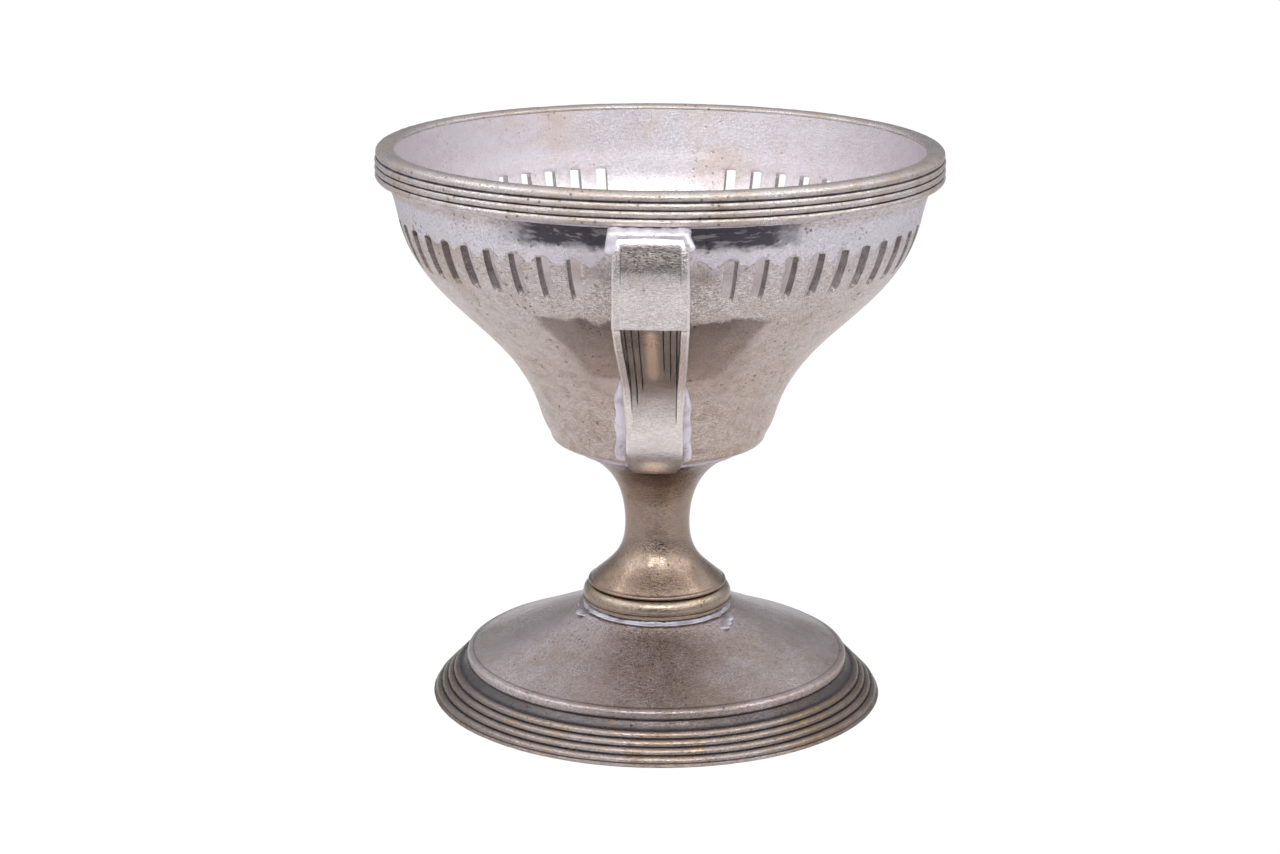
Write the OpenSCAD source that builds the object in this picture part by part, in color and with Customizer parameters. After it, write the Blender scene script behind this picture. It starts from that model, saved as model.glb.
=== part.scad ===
// Two-handled pierced pedestal cup in silver-soldered nickel silver.
// Millimetres. The origin is the centre of the foot's underside, +Z is up,
// and the front handle faces -Y.

/* [Overall] */
// Height from the table to the top of the rim
cup_h = 97; // [92:0.5:110]
// Outer diameter of the reeded rim
rim_d = 96; // [92:0.5:104]
// Outer diameter of the foot where it rests
foot_d = 78.4; // [74:0.2:90]

/* [Rim border] */
// Height of the plain roll at the top of the rim
roll_h = 1.2; // [0.8:0.1:2]
// Number of reeds below the roll
rim_reeds = 3; // [2:1:4]
// Height of one rim reed
rim_reed_h = 1.4; // [1:0.1:1.8]
// Thickness of the border outside the bowl's wall
rim_border_t = 1.8; // [1.5:0.1:2.6]
// How far each reed stands out of its grooves
reed_relief = 0.42; // [0.2:0.02:0.6]
// Depth of the lip that covers the bowl's edge
rim_lip_h = 0.9; // [0.6:0.1:1.2]

/* [Bowl] */
// Thickness of the bowl's wall
bowl_wall = 1.5; // [1:0.1:2]
// Height of the bowl's underside above the table
bowl_base_z = 44.6; // [42:0.2:48]
// Width of the rounded heel outside the flat underside
heel_w = 3.9; // [3:0.1:5]
// Height of the heel above the bowl's underside
heel_h = 2.4; // [1.8:0.1:3]
// How far the waist stands out past the heel
waist_w = 1.6; // [1:0.1:3]
// Height of the waist above the underside
waist_h = 5.8; // [5:0.1:8]
// How far the shoulder lies inside the rim's seat
shoulder_inset = 2; // [1.4:0.1:4]
// Depth of the shoulder below the rim's top
shoulder_drop = 11.7; // [10:0.1:13]

/* [Pierced slots] */
// Number of slots between one handle and the other
slots_a_side = 23; // [9:1:25]
// Width of a slot
slot_w = 2.1; // [1.2:0.1:2.6]
// Angle from a handle's middle to the nearest slot's middle
slot_first = 16.1; // [14:0.1:22]
// Depth of the slots' tops below the shoulder
slot_top_drop = 0.1; // [0:0.1:2]
// Height of a slot
slot_h = 7.2; // [4:0.1:8]

/* [Handles] */
// Width of a handle at the top
handle_w = 12.1; // [9:0.1:14]
// Width of a handle at its lower end
handle_toe_w = 9.4; // [7:0.1:12]
// How far a handle stands out past the rim
handle_reach = 2.8; // [2:0.1:4]
// Thickness of a handle's strap
strap_t = 2; // [1.6:0.1:2.4]
// Height of the upper panel
panel_h = 14.6; // [12:0.1:16]
// Depth of the step under the upper panel
step_t = 0.8; // [0.4:0.1:1]
// Where a handle lands on the bowl, from its waist at 0 to its shoulder at 1
landing = 0.27; // [0.2:0.01:0.35]
// Width of each raised edge beside the lower panel
rail_w = 1.3; // [0.8:0.1:1.6]
// Number of engraved lines along each side of the lower panel
lines_a_side = 3; // [1:1:3]
// Depth of an engraved line
line_depth = 0.3; // [0.2:0.05:0.5]

/* [Stem] */
// Radius of the stem's waist
stem_waist_r = 5.6; // [4.5:0.1:8]
// Height of the stem's waist above the table
stem_waist_z = 30.6; // [28:0.2:33]
// Radius of the trumpet under the bowl
stem_top_r = 14.2; // [12:0.1:16]
// Radius of the flare above the base ring
stem_flare_r = 11.7; // [10:0.1:12.2]
// Radius of the spigots that locate the stem
spigot_r = 4; // [3:0.1:4.4]

/* [Base ring] */
// Largest radius of the ring around the stem's base
ring_r = 12.95; // [12.5:0.05:15]
// Height of the ring
ring_h = 3.2; // [2.6:0.1:4]

/* [Foot] */
// Height of the seat for the base ring above the table
foot_seat_z = 15.6; // [14:0.1:17]
// Thickness of the foot's plate
foot_wall = 1.4; // [1:0.1:1.8]
// Height of the plate's edge above the table
foot_edge_z = 7.5; // [6.5:0.1:9]
// Width of the border, from the plate's edge to the outside of the foot
foot_border_w = 5.9; // [5:0.1:7]
// Number of reeds on the foot's border
foot_reeds = 4; // [3:1:5]
// Height of the hollow between the plate and the reeds
foot_cove_h = 1.2; // [0.8:0.1:1.6]
// Width of the hollow between the plate and the reeds
foot_cove_w = 1.3; // [1:0.1:1.8]
// Width of the border's flat underside
foot_rest_w = 2.3; // [1.8:0.1:3]
// Width of the ledge that the plate rests on
foot_ledge_w = 1.5; // [1:0.1:2]

/* [Solder] */
// Thickness of the solder film between seated faces
solder_gap = 0.05; // [0:0.01:0.1]
// Size of the solder fillets at the joints
fillet = 0.7; // [0.4:0.05:1]
// Thickness of the solder run over a handle's top
top_run_t = 0.5; // [0.3:0.1:0.8]
// Radius of the solder drop at each corner of a handle's top
drop_r = 1.1; // [0.7:0.1:1.4]
// Width of the solder beside a handle's lower end
side_solder_w = 1.9; // [1:0.1:2.4]

/* [Hidden] */
$fn = 96;

silver = [0.80, 0.76, 0.74];
worn_silver = [0.72, 0.65, 0.56];
pale_solder = [0.86, 0.84, 0.90];

// Radii and heights that follow from the sizes above
rim_r = rim_d / 2;
foot_r = foot_d / 2;
rim_seat_r = rim_r - rim_border_t;
rim_bottom_z = cup_h - roll_h - rim_reeds * rim_reed_h;
bowl_top_z = cup_h - rim_lip_h;
floor_z = bowl_base_z + bowl_wall;
bowl_solder_w = 0.4;
bowl_flat_r = stem_top_r + bowl_solder_w;
heel_r = bowl_flat_r + heel_w;
waist_r = heel_r + waist_w;
shoulder_r = rim_seat_r - shoulder_inset;
shoulder_z = cup_h - shoulder_drop;

// Number of straight pieces that each curve is drawn with
heel_steps = 4;
waist_steps = 2;
ogee_steps = 14;
neck_steps = 4;
strap_steps = 6;
sweep_steps = 10;
stem_steps = 12;
reed_steps = 6;
small_steps = 4;
// How far a cutting shape runs past what it cuts
past = 1;

// ---- curves: outlines in the plane of radius and height ----
function toward(a, b, share) = [a[0] + (b[0] - a[0]) * share[0], a[1] + (b[1] - a[1]) * share[1]];
// A curve from a to b. Its two handles are shares of the way from a to b.
function curve(a, b, lead, tail) = [a, toward(a, b, lead), toward(a, b, tail), b];
function point(k, t) =
    pow(1 - t, 3) * k[0] + 3 * t * pow(1 - t, 2) * k[1] + 3 * t * t * (1 - t) * k[2] + pow(t, 3) * k[3];
function slope(k, t) =
    pow(1 - t, 2) * (k[1] - k[0]) + 2 * t * (1 - t) * (k[2] - k[1]) + t * t * (k[3] - k[2]);
// The unit normal to the right of the curve's direction.
function right_of(k, t) = let (s = slope(k, t)) [s[1], -s[0]] / norm(s);
function beside(k, t, off) = point(k, t) + off * right_of(k, t);
function run(k, steps, off = 0, first = 0) =
    [for (i = [first:steps]) beside(k, i / steps, off)];
function backwards(list) = [for (i = [len(list) - 1:-1:0]) list[i]];
// The place along a rising curve that lies at height z.
function place_at(k, z, steps = 40) = lookup(z, [for (i = [0:steps]) [point(k, i / steps)[1], i / steps]]);
// A row of n round reeds from a to b, standing out to the right of the row.
function reeds(a, b, n, relief) =
    let (step = (b - a) / n, out = [step[1], -step[0]] / norm(step))
    [for (i = [0:n - 1], j = [0:reed_steps - 1])
        a + step * (i + j / reed_steps) + out * relief * sin(180 * j / reed_steps)];

// ---- bowl: the wall's outer face, from the underside up to the rim ----
heel = curve([bowl_flat_r, bowl_base_z], [heel_r, bowl_base_z + heel_h], [0.67, 0.37], [1, 0.5]);
lower_wall = curve(heel[3], [waist_r, bowl_base_z + waist_h], [0.22, 0.24], [0.69, 0.53]);
ogee = curve(lower_wall[3], [shoulder_r, shoulder_z], [0.187, 0.473], [0.871, 0.562]);
neck = curve(ogee[3], [rim_seat_r, rim_bottom_z], [0.2, 0.32], [0.5, 0.75]);

function wall_face(off) = concat(
    run(lower_wall, waist_steps, off, 1), run(ogee, ogee_steps, off, 1), run(neck, neck_steps, off, 1));

// Everything inside the bowl's outer face, grown by "grow".
module bowl_body(grow = 0) {
    rotate_extrude()
        polygon(concat([[0, bowl_base_z - grow], [bowl_flat_r, bowl_base_z - grow]],
                       run(heel, heel_steps, grow), wall_face(grow),
                       [[rim_seat_r + grow, bowl_top_z], [0, bowl_top_z]]));
}

// The wall's inner face, from the rim down to the rounded edge of the flat floor.
function inner_face() =
    let (edge_r = heel_r - bowl_wall, round_w = 1.6, round_h = 1.2,
         kept = [for (p = wall_face(-bowl_wall)) if (p[1] > floor_z + round_h) p])
    concat(backwards(kept),
           [[edge_r - round_w * 0.4, floor_z + round_h * 0.4], [edge_r - round_w, floor_z]]);

// One slot, cut through the wall with both ends square to it.
module slot_cutter() {
    top_t = place_at(ogee, shoulder_z - slot_top_drop);
    low_t = place_at(ogee, shoulder_z - slot_top_drop - slot_h);
    inner = -bowl_wall - past;
    rotate([90, 0, 0])
        linear_extrude(slot_w, center = true)
            polygon([beside(ogee, low_t, past), beside(ogee, low_t, inner),
                     beside(ogee, top_t, inner), beside(ogee, top_t, past)]);
}

module bowl() {
    slot_pitch = (180 - 2 * slot_first) / (slots_a_side - 1);
    hole_r = spigot_r + solder_gap;
    color(silver) difference() {
        rotate_extrude()
            polygon(concat([[hole_r, bowl_base_z]], run(heel, heel_steps), wall_face(0),
                           [[rim_seat_r, bowl_top_z], [rim_seat_r - bowl_wall, bowl_top_z]],
                           inner_face(), [[hole_r, floor_z]]));
        for (side = [-90, 90], i = [0:slots_a_side - 1])
            rotate([0, 0, side + slot_first + i * slot_pitch])
                slot_cutter();
    }
}

// ---- rim ----
module rim_border() {
    crest_w = 0.2;
    lip_round = 0.5;
    seat_r = rim_seat_r + solder_gap;
    lip_r = rim_seat_r - bowl_wall;
    reed_root_r = rim_r - reed_relief;
    roll = curve([reed_root_r, cup_h - roll_h], [rim_seat_r + crest_w, cup_h], [-0.6, 0.5], [0.07, 1]);
    color(silver) rotate_extrude()
        polygon(concat([[seat_r, rim_bottom_z]],
                       reeds([reed_root_r, rim_bottom_z], roll[0], rim_reeds, reed_relief),
                       run(roll, 2 * small_steps),
                       [[lip_r + lip_round, cup_h - lip_round * 0.3], [lip_r, cup_h - lip_round],
                        [lip_r, bowl_top_z + solder_gap], [seat_r, bowl_top_z + solder_gap]]));
}

// The solder in the corner under the border, on the last piece of the neck.
module rim_solder() {
    last_face = run(neck, neck_steps, 0, neck_steps - 1);
    reach = 0.8 * fillet / (last_face[1][1] - last_face[0][1]);
    low = last_face[1] + reach * (last_face[0] - last_face[1]);
    color(pale_solder) rotate_extrude()
        polygon([low, last_face[1], [rim_seat_r + fillet, rim_bottom_z],
                 [rim_seat_r + fillet * 0.3, (low[1] + rim_bottom_z) / 2]]);
}

// ---- handles: side outline, with the radius measured towards -Y ----
strap_top_z = rim_bottom_z - fillet - top_run_t;
strap_r = rim_r + handle_reach;
step_z = strap_top_z - panel_h;
step_r = strap_r - 1.4;
belly_z = strap_top_z - 0.37 * panel_h;
toe_z = bowl_base_z + 0.6;
land_gap = 0.25;
land = beside(ogee, landing, strap_t + land_gap);
brow = curve([strap_r - 1.5, strap_top_z], [strap_r, belly_z], [0.67, 0.02], [1, 0.56]);
cheek = curve(brow[3], [step_r, step_z], [0, 0.33], [0.64, 0.73]);
sweep = curve([step_r - step_t, step_z - 0.3], land, [0.16, 0.3], [0.93, 0.8]);
shin = curve(land, [waist_r + 3.2, toe_z + 3.2], [0.43, 0.32], [1.14, 0.72]);
toe = curve(shin[3], [waist_r + 0.6, toe_z], [-0.15, 0.5], [0.31, 1]);

// A slab that follows a side outline, "w" wide and centred on x.
module side_slab(points, w) {
    rotate([90, 0, -90])
        linear_extrude(w, center = true)
            polygon(points);
}

// The handle's outline from the front, as a cutter for the whole depth.
module front_outline() {
    bend_z = land[1] + 1;
    toe_round = 1.3;
    half = [[handle_w / 2, cup_h], [handle_w / 2, step_z], [handle_toe_w / 2 + 0.4, bend_z],
            [handle_toe_w / 2, (bend_z + toe_z) / 2], [handle_toe_w / 2, toe_z + toe_round],
            [handle_toe_w / 2 - toe_round, toe_z - past]];
    rotate([90, 0, 0])
        linear_extrude(strap_r + past)
            polygon(concat(half, [for (p = backwards(half)) [-p[0], p[1]]]));
}

// The strap, carried on into the bowl's wall, which handle() cuts away.
module strap() {
    front = concat(run(brow, strap_steps), run(cheek, strap_steps, 0, 1), run(sweep, sweep_steps),
                   run(shin, strap_steps, 0, 1), run(toe, strap_steps, 0, 1));
    back = concat(run(cheek, strap_steps, strap_t), run(sweep, sweep_steps, strap_t, 1));
    back_end = back[len(back) - 1];
    under_z = strap_top_z - strap_t;
    intersection() {
        side_slab(concat([[shoulder_r - past, strap_top_z]], front,
                         [[heel_r - past, toe_z], [waist_r - past, back_end[1] + past]],
                         backwards(back),
                         [[brow[0][0] - strap_t, under_z], [shoulder_r - past, under_z]]),
                  handle_w);
        front_outline();
    }
}

// A cutter for the face below the step, "depth" deep at the step and "end_depth" at its end.
module panel_cutter(w, depth, end_depth) {
    shin_share = 0.5;
    shin_steps = shin_share * strap_steps;
    last = sweep_steps + shin_steps;
    above = concat(run(sweep, sweep_steps, -past),
                   [for (i = [1:shin_steps]) beside(shin, i / strap_steps, -past)]);
    below = [for (i = [0:last])
        let (deep = depth + (end_depth - depth) * i / last)
        i <= sweep_steps ? beside(sweep, i / sweep_steps, deep)
                         : beside(shin, (i - sweep_steps) / strap_steps, deep)];
    side_slab(concat(above, backwards(below)), w);
}

module handle() {
    panel_w = (handle_w + handle_toe_w) / 2 - 2 * rail_w;
    line_w = 0.25;
    line_inset = 0.15;
    line_pitch = panel_w / 7;
    sunk = step_t * 0.6;
    color(silver) difference() {
        strap();
        bowl_body(solder_gap);
        // the sunk panel between the raised edges fades out at its lower end
        panel_cutter(panel_w, sunk, 0);
        for (side = [-1, 1], i = [0:lines_a_side - 1])
            translate([side * (panel_w / 2 - line_inset - i * line_pitch), 0, 0])
                panel_cutter(line_w, sunk + line_depth, line_depth);
    }
}

// The solder over a handle's top: a flat run, with a drop at each corner.
module top_solder() {
    run_r = brow[0][0];
    drop_h = 1.9;
    drop_inset = 0.2;
    color(pale_solder) difference() {
        union() {
            translate([-handle_w / 2, -run_r, strap_top_z])
                cube([handle_w, run_r - shoulder_r + past, top_run_t]);
            for (side = [-1, 1])
                translate([side * (handle_w / 2 - drop_inset), drop_inset - run_r,
                           strap_top_z + top_run_t - drop_h])
                    cylinder(r = drop_r, h = drop_h);
        }
        strap();
        bowl_body(solder_gap);
    }
}

// The solder run down both sides of a handle's lower end.
module side_solder() {
    run_w = handle_toe_w + 2 * side_solder_w;
    low_z = toe_z + 1.8;
    color(pale_solder) difference() {
        intersection() {
            bowl_body(fillet);
            translate([-run_w / 2, -rim_r, low_z])
                cube([run_w, rim_r, land[1] + 1.8 - low_z]);
        }
        bowl_body();
        front_outline();
    }
}

module at_back() { rotate([0, 0, 180]) children(); }
module handle_front() { handle(); }
module handle_back() { at_back() handle(); }
module handle_front_top_solder() { top_solder(); }
module handle_back_top_solder() { at_back() top_solder(); }
module handle_front_side_solder() { side_solder(); }
module handle_back_side_solder() { at_back() side_solder(); }

// ---- stem and its base ring ----
ring_lip_z = foot_seat_z + 1;
ring_lip_h = 0.5;
ring_under = 0.9;
ring_top_z = ring_lip_z + ring_h;
stem_top_z = bowl_base_z - solder_gap;
trumpet_edge_h = 0.5;
bead_h = 0.7;
bead_w = 0.45;
// The ring's flank under its lip, which the solder round it follows
ring_flank = [[ring_r - ring_under, foot_seat_z], [ring_r - 0.7, ring_lip_z]];

module stem() {
    bead = [[stem_flare_r - 0.1, ring_top_z], [stem_flare_r + bead_w, ring_top_z + 0.2],
            [stem_flare_r + bead_w, ring_top_z + bead_h - 0.1], [stem_flare_r, ring_top_z + bead_h]];
    flare = curve(bead[3], [stem_waist_r, stem_waist_z], [0.43, 0.26], [1, 0.39]);
    trumpet = curve(flare[3], [stem_top_r, stem_top_z - trumpet_edge_h], [0, 0.51], [0.36, 0.83]);
    color(worn_silver) rotate_extrude()
        polygon(concat([[0, foot_seat_z - foot_wall], [spigot_r, foot_seat_z - foot_wall],
                        [spigot_r, ring_top_z]],
                       run(bead, small_steps), run(flare, stem_steps, 0, 1),
                       run(trumpet, stem_steps, 0, 1),
                       [[stem_top_r, stem_top_z], [spigot_r, stem_top_z],
                        [spigot_r, floor_z], [0, floor_z]]));
}

module bowl_solder() {
    color(pale_solder) rotate_extrude()
        polygon([[stem_top_r, stem_top_z - trumpet_edge_h], [stem_top_r + bowl_solder_w, stem_top_z - 0.15],
                 [bowl_flat_r, bowl_base_z], [stem_top_r, bowl_base_z]]);
}

module stem_ring() {
    round_low = [ring_r - 0.15, ring_lip_z + ring_lip_h + 0.1];
    ring_round = curve(round_low, [stem_flare_r - 0.1, ring_top_z - 0.1], [-0.29, 0.4], [0.17, 0.92]);
    hole_r = spigot_r + solder_gap;
    color(worn_silver) rotate_extrude()
        polygon(concat([[hole_r, foot_seat_z]], ring_flank,
                       [[ring_r, ring_lip_z + 0.1], [ring_r, ring_lip_z + ring_lip_h]],
                       run(ring_round, 2 * small_steps),
                       [[hole_r, ring_round[3][1]]]));
}

// ---- foot ----
foot_plate_r = foot_r - foot_border_w;
foot_seat_r = ring_r + 0.65;
plate_edge_h = 0.7;
plate_edge_w = 1;
plate_slope = (foot_seat_z - foot_edge_z) / (foot_plate_r - foot_seat_r);
plate_low_z = foot_edge_z - foot_wall;
ledge_r = foot_plate_r - foot_ledge_w;

module foot() {
    hole_r = spigot_r + solder_gap;
    under_r = ledge_r - 1.5;
    edge = curve([foot_plate_r - plate_edge_w, foot_edge_z + plate_edge_w * plate_slope],
                 [foot_plate_r, foot_edge_z - plate_edge_h], [0.7, 0.11], [1, 0.37]);
    color(silver) rotate_extrude()
        polygon(concat([[hole_r, foot_seat_z - foot_wall], [foot_seat_r - 0.6, foot_seat_z - foot_wall],
                        [under_r, plate_low_z + 2 * plate_slope], [ledge_r - 1, plate_low_z],
                        [foot_plate_r - 0.3, plate_low_z], [foot_plate_r, plate_low_z + 0.3]],
                       backwards(run(edge, small_steps)),
                       [[foot_seat_r, foot_seat_z], [hole_r, foot_seat_z]]));
}

// The pale fillet that runs from the foot's cone up under the ring's lip.
module foot_solder() {
    run_r = foot_seat_r + 0.95;
    top = toward(ring_flank[0], ring_flank[1], [0.9, 0.9]);
    color(pale_solder) rotate_extrude()
        polygon([ring_flank[0], [foot_seat_r, foot_seat_z],
                 [run_r, foot_seat_z - plate_slope * (run_r - foot_seat_r)],
                 [foot_seat_r - 0.05, foot_seat_z + 0.45], [top[0] + 0.6, top[1]], top]);
}

module foot_border() {
    top_z = plate_low_z - solder_gap;
    rest_r = foot_r - 0.5;
    reed_low = [foot_r - reed_relief, 0.6];
    cove = curve([foot_plate_r + foot_cove_w, top_z - foot_cove_h], [foot_plate_r, top_z],
                 [0.54, 0.17], [0.77, 0.58]);
    color(silver) rotate_extrude()
        polygon(concat([[rest_r - foot_rest_w, 0], [rest_r, 0], [foot_r, 0.3]],
                       reeds(reed_low, cove[0], foot_reeds, reed_relief),
                       run(cove, strap_steps),
                       [[ledge_r, top_z], [ledge_r, cove[0][1]]]));
}

// The solder inside, in the corner between the plate and its ledge.
module foot_border_solder() {
    color(pale_solder) rotate_extrude()
        polygon([[ledge_r, plate_low_z], [ledge_r - fillet, plate_low_z],
                 [ledge_r - fillet * 0.4, plate_low_z - fillet * 0.4], [ledge_r, plate_low_z - fillet]]);
}

bowl();
rim_border();
rim_solder();
handle_front();
handle_back();
handle_front_top_solder();
handle_back_top_solder();
handle_front_side_solder();
handle_back_side_solder();
stem();
bowl_solder();
stem_ring();
foot();
foot_solder();
foot_border();
foot_border_solder();
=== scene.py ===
"""A two-handled pierced pedestal cup in worn silver plate, silver-soldered."""
import math

import bmesh
import bpy
from mathutils import Euler, Matrix, Vector, noise


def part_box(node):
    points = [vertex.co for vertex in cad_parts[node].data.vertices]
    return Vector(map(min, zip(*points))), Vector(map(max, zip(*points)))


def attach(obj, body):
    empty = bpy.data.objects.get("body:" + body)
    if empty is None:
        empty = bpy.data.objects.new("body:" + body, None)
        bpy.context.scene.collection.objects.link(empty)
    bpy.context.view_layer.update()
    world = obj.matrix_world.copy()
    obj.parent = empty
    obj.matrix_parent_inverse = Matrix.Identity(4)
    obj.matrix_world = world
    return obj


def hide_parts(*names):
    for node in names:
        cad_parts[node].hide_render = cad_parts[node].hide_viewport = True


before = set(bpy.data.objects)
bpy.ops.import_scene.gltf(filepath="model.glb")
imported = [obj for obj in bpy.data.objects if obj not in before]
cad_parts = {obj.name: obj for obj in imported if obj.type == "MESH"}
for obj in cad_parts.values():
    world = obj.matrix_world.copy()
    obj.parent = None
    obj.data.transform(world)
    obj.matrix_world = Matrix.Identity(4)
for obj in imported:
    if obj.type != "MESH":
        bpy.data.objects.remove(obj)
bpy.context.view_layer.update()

MM = 0.001
UP = Vector((0, 0, 1))
CENTRE = Vector((0, 0, 0))
LIT_POINT = Vector((0, 0, 0.05))



def add_object(name, data):
    made = bpy.data.objects.new(name, data)
    bpy.context.scene.collection.objects.link(made)
    return made


# ---------------------------------------------------------------- camera and lights


def aim_camera():
    """A long lens, a little above the rim and a touch to the right of the handle."""
    side = math.radians(1.5)
    reach, height = 0.4677, 0.1714
    data = bpy.data.cameras.new("camera")
    data.lens = 78.75
    data.sensor_width = 36
    camera = add_object("camera", data)
    camera.location = (reach * math.sin(side), -reach * math.cos(side), height)
    turn = Euler((math.radians(75.162), 0, side + math.radians(0.383)))
    roll = Matrix.Rotation(math.radians(0.329), 3, "Z")
    camera.rotation_euler = (turn.to_matrix() @ roll).to_euler()
    bpy.context.scene.camera = camera


def add_softbox(name, azimuth, elevation, distance, size, power):
    """A rectangular light that points at the cup. Azimuth 0 is in front, at -Y."""
    data = bpy.data.lights.new(name, "AREA")
    data.shape = "RECTANGLE"
    data.size, data.size_y = size
    data.energy = power
    light = add_object(name, data)
    a, e = math.radians(azimuth), math.radians(elevation)
    aim = Vector((math.sin(a) * math.cos(e), -math.cos(a) * math.cos(e), math.sin(e)))
    light.location = LIT_POINT + aim * distance
    light.rotation_euler = aim.to_track_quat("Z", "Y").to_euler()


# ---------------------------------------------------------------- shader maths


class Wire:
    """A socket's value. Its operators add the Math nodes of an expression."""

    def __init__(self, tree, socket):
        self.tree = tree
        self.socket = socket

    def maths(self, operation, *values):
        return self.tree.node("ShaderNodeMath", {"operation": operation}, dict(enumerate(values)))

    def __add__(self, other):
        return self.maths("ADD", self, other)

    def __sub__(self, other):
        return self.maths("SUBTRACT", self, other)

    def __rsub__(self, other):
        return self.maths("SUBTRACT", other, self)

    def __mul__(self, other):
        return self.maths("MULTIPLY", self, other)

    def __neg__(self):
        return self.maths("SUBTRACT", 0, self)

    def __abs__(self):
        return self.maths("ABSOLUTE", self)

    __radd__ = __add__
    __rmul__ = __mul__

    def smooth(self, low, high):
        """0 below low and 1 above high, with a soft step between."""
        return self.tree.node(
            "ShaderNodeMapRange",
            {"interpolation_type": "SMOOTHSTEP"},
            {"Value": self, "From Min": low, "From Max": high},
        )

    def clamp(self):
        return self.tree.node("ShaderNodeClamp", {}, {"Value": self})


def opaque(colour):
    return (*colour, 1) if isinstance(colour, tuple) else colour


class Tree:
    """A node tree that is written as expressions."""

    def __init__(self, nodes_of):
        nodes_of.use_nodes = True
        self.tree = nodes_of.node_tree
        self.tree.nodes.clear()

    def node(self, kind, settings, sockets, output=0):
        """Adds one node: its type, its settings and its sockets' values or links."""
        made = self.tree.nodes.new(kind)
        for name, value in settings.items():
            setattr(made, name, value)
        for name, value in sockets.items():
            if isinstance(value, Wire):
                self.tree.links.new(value.socket, made.inputs[name])
            else:
                made.inputs[name].default_value = value
        return Wire(self, made.outputs[output]) if made.outputs else None

    def place(self):
        """Where a point lies on the cup."""
        return self.node("ShaderNodeTexCoord", {}, {}, "Object")

    def axes(self, vector):
        """A vector's X, Y and Z."""
        first = self.node("ShaderNodeSeparateXYZ", {}, {"Vector": vector})
        return [Wire(self, output) for output in first.socket.node.outputs]

    def seen_by_camera(self):
        """1 where the camera looks straight at a surface, and 0 in reflections and bounced light."""
        return self.node("ShaderNodeLightPath", {}, {}, "Is Camera Ray")

    def painted(self, attribute):
        """What a piece's own attribute says, point by point."""
        return self.node("ShaderNodeAttribute", {"attribute_name": attribute}, {}, "Fac")

    def mix(self, share, first, second):
        """A colour between two colours."""
        return self.node(
            "ShaderNodeMix", {"data_type": "RGBA"}, {0: share, 6: opaque(first), 7: opaque(second)}, 2
        )

    def noise(self, place, scale, detail, roughness, stretch=None, turn=0.0):
        """Cloudy noise, "scale" lumps to the metre, drawn out where a stretch is given."""
        if stretch:
            place = self.node(
                "ShaderNodeMapping", {}, {"Vector": place, "Rotation": (0, turn, turn), "Scale": stretch}
            )
        return self.node(
            "ShaderNodeTexNoise",
            {},
            {"Vector": place, "Scale": scale, "Detail": detail, "Roughness": roughness},
        )

    def spots(self, place, scale, radius):
        """Small round spots: 1 inside one and 0 outside."""
        distance = self.node("ShaderNodeTexVoronoi", {}, {"Vector": place, "Scale": scale})
        return 1 - distance.smooth(radius * 0.5, radius)


# ---------------------------------------------------------------- finishes

LILAC_SILVER = (0.90, 0.86, 0.94)
BARE_BRASS = (0.56, 0.40, 0.24)
TARNISH = (0.22, 0.16, 0.12)
GROOVE_SHADE_AND_DIRT = (0.030, 0.033, 0.047)
BLACK_SHADE_AND_TARNISH = (0.06, 0.055, 0.075)
BROWN_REFLECTION = (0.115, 0.083, 0.062)
CHAMPAGNE = (0.68, 0.56, 0.48)
SHADE_BROWN = (0.13, 0.095, 0.07)
ORANGE_GLINT_AND_BRASS = (0.72, 0.50, 0.30)


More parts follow.
